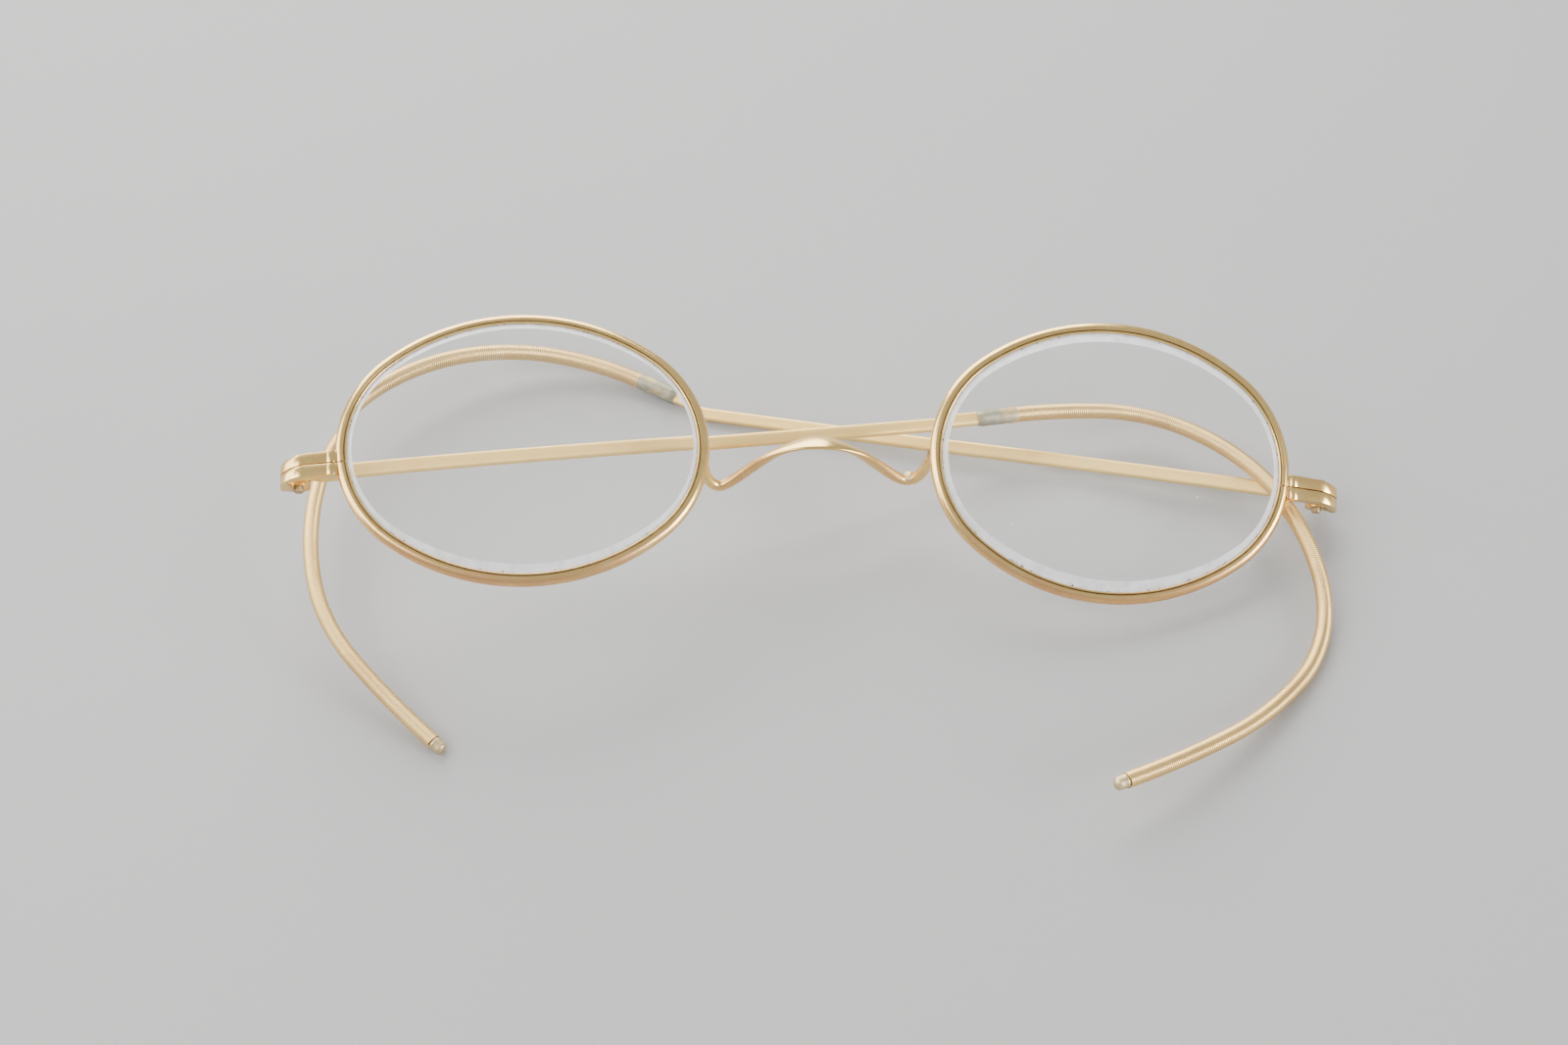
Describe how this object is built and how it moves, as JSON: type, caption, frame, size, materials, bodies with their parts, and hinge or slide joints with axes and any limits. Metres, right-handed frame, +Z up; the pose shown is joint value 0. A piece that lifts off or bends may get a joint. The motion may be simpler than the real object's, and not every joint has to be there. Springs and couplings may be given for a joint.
{
  "type": "reading glasses",
  "caption": "Oval wire-rim reading glasses with a saddle bridge and curled cable temples that fold at screw hinges.",
  "frame": {"origin": "centre of the overall box in X and Y, on the table that the folded glasses lie on", "axes": "+Z is up from the table, +X runs along the front from the picture's left lens to its right lens, and +Y points away from the viewer, towards the top of the lenses"},
  "size_m": [0.1152, 0.068, 0.0254],
  "materials": {
    "gold_filled_front": "polished gold-filled wire, worn paler on its outer edges",
    "gold_filled_temple": "dull gold-filled flattened wire",
    "gold_filled_cable": "close wound fine gold-filled wire",
    "lens_glass": "clear ground glass with a frosted bevel",
    "screw_steel": "tarnished steel",
    "core_steel": "plain spring wire",
    "solder": "dull grey soft solder",
    "cap_metal": "dull tarnished cap"
  },
  "bodies": {
    "front": {"rim_left": "gold_filled_front", "rim_right": "gold_filled_front", "lens_left": "lens_glass", "lens_right": "lens_glass", "bridge": "gold_filled_front", "end_piece_upper_left": "gold_filled_front", "end_piece_lower_left": "gold_filled_front", "end_piece_upper_right": "gold_filled_front", "end_piece_lower_right": "gold_filled_front", "hinge_screw_left": "screw_steel", "hinge_screw_right": "screw_steel"},
    "left_temple": {"temple_shaft_left": "gold_filled_temple", "cable_joint_left": "solder", "cable_core_left": "core_steel", "cable_winding_left": "gold_filled_cable", "cable_tip_left": "cap_metal"},
    "right_temple": {"temple_shaft_right": "gold_filled_temple", "cable_joint_right": "solder", "cable_core_right": "core_steel", "cable_winding_right": "gold_filled_cable", "cable_tip_right": "cap_metal"}
  },
  "joints": [
    {"name": "left_hinge", "type": "hinge", "parent": "front", "child": "left_temple", "pos_m": [-0.05517, 0.0062, 0.01949], "axis": [0.0262, 0.9588, 0.283], "range_deg": [0, 91]},
    {"name": "right_hinge", "type": "hinge", "parent": "front", "child": "right_temple", "pos_m": [0.05543, 0.00265, 0.00265], "axis": [0.1513, 0.891, 0.4279], "range_deg": [-79, 0]}
  ]
}
